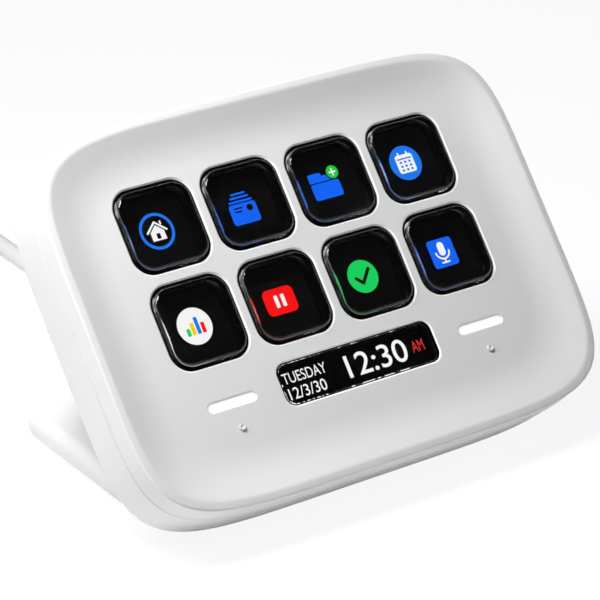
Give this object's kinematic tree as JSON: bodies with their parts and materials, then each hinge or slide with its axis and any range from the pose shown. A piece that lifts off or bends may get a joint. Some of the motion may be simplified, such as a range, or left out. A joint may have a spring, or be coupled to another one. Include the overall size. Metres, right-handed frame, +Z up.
{
  "type": "macro keypad",
  "caption": "Desktop macro pad with sprung clear display keys in a dished face, an info bar, two touch bars, a weighted foot and a captive lead.",
  "frame": {"origin": "on the desk, at the underside of the foot's rubber pad, straight below the centre of the key grid", "axes": "+X to the user's right along the face, +Y away from the user, +Z up; the face leans back at 50 degrees to the desk"},
  "size_m": [0.1175, 0.2094, 0.0693],
  "materials": {
    "shell_white": "fine matte moulded plastic",
    "frame_black": "matte black moulding",
    "carrier_black": "matte black moulding",
    "cap_clear": "clear polished acrylic",
    "window_clear": "smoked polished acrylic",
    "silicone_dark": "soft matte silicone",
    "film_amber": "amber polyimide film",
    "display_glass": "black display glass",
    "guide_white": "white light guide stack",
    "foam_black": "black foam",
    "sheet_steel": "pressed sheet steel",
    "screw_steel": "plated steel",
    "light_bar": "translucent white diffuser",
    "board_green": "green solder mask",
    "chip_black": "black epoxy",
    "socket_ivory": "ivory socket plastic",
    "boot_white": "soft white overmould",
    "lead_white": "soft white jacket",
    "ballast_steel": "plain steel plate",
    "pad_rubber": "dark grey rubber",
    "tie_black": "black hook-and-loop strap",
    "plug_white": "soft white overmould",
    "plug_metal": "nickel-plated steel"
  },
  "bodies": {
    "housing": {"front_shell": "shell_white", "key_frame": "frame_black", "info_window": "window_clear", "key_membrane": "silicone_dark", "contact_film": "film_amber", "lcd_panel": "display_glass", "backlight": "guide_white", "info_gasket": "foam_black", "info_display": "display_glass", "display_tray": "sheet_steel", "tray_screws": "screw_steel", "touch_bar_left": "light_bar", "touch_bar_right": "light_bar", "touch_board_left": "board_green", "touch_board_right": "board_green", "display_ribbon": "film_amber", "info_ribbon": "film_amber", "main_board": "board_green", "board_chips": "chip_black", "board_sockets": "socket_ivory", "board_screws": "screw_steel", "rear_shell": "shell_white", "shell_screws": "screw_steel", "strain_relief": "boot_white", "inner_lead": "lead_white", "foot_shell": "shell_white", "foot_screws": "screw_steel", "foot_base": "shell_white", "foot_base_screws": "screw_steel", "ballast": "ballast_steel", "foot_pad": "pad_rubber", "cord": "lead_white", "cord_coil": "lead_white", "cord_tie": "tie_black", "plug_body": "plug_white", "plug_shell": "plug_metal", "plug_contacts": "chip_black"},
    "key_1": {"keycap_1": "cap_clear", "key_carrier_1": "carrier_black"},
    "key_2": {"keycap_2": "cap_clear", "key_carrier_2": "carrier_black"},
    "key_3": {"keycap_3": "cap_clear", "key_carrier_3": "carrier_black"},
    "key_4": {"keycap_4": "cap_clear", "key_carrier_4": "carrier_black"},
    "key_5": {"keycap_5": "cap_clear", "key_carrier_5": "carrier_black"},
    "key_6": {"keycap_6": "cap_clear", "key_carrier_6": "carrier_black"},
    "key_7": {"keycap_7": "cap_clear", "key_carrier_7": "carrier_black"},
    "key_8": {"keycap_8": "cap_clear", "key_carrier_8": "carrier_black"}
  },
  "joints": [
    {"name": "key_1_press", "type": "slide", "parent": "housing", "child": "key_1", "axis": [0, 0.766, -0.6428], "range_m": [0, 0.001], "stiffness_N_per_m": 350, "springref_m": -0.0007, "deforming": ["key_membrane"]},
    {"name": "key_2_press", "type": "slide", "parent": "housing", "child": "key_2", "axis": [0, 0.766, -0.6428], "range_m": [0, 0.001], "stiffness_N_per_m": 350, "springref_m": -0.0007, "deforming": ["key_membrane"]},
    {"name": "key_3_press", "type": "slide", "parent": "housing", "child": "key_3", "axis": [0, 0.766, -0.6428], "range_m": [0, 0.001], "stiffness_N_per_m": 350, "springref_m": -0.0007, "deforming": ["key_membrane"]},
    {"name": "key_4_press", "type": "slide", "parent": "housing", "child": "key_4", "axis": [0, 0.766, -0.6428], "range_m": [0, 0.001], "stiffness_N_per_m": 350, "springref_m": -0.0007, "deforming": ["key_membrane"]},
    {"name": "key_5_press", "type": "slide", "parent": "housing", "child": "key_5", "axis": [0, 0.766, -0.6428], "range_m": [0, 0.001], "stiffness_N_per_m": 350, "springref_m": -0.0007, "deforming": ["key_membrane"]},
    {"name": "key_6_press", "type": "slide", "parent": "housing", "child": "key_6", "axis": [0, 0.766, -0.6428], "range_m": [0, 0.001], "stiffness_N_per_m": 350, "springref_m": -0.0007, "deforming": ["key_membrane"]},
    {"name": "key_7_press", "type": "slide", "parent": "housing", "child": "key_7", "axis": [0, 0.766, -0.6428], "range_m": [0, 0.001], "stiffness_N_per_m": 350, "springref_m": -0.0007, "deforming": ["key_membrane"]},
    {"name": "key_8_press", "type": "slide", "parent": "housing", "child": "key_8", "axis": [0, 0.766, -0.6428], "range_m": [0, 0.001], "stiffness_N_per_m": 350, "springref_m": -0.0007, "deforming": ["key_membrane"]}
  ]
}
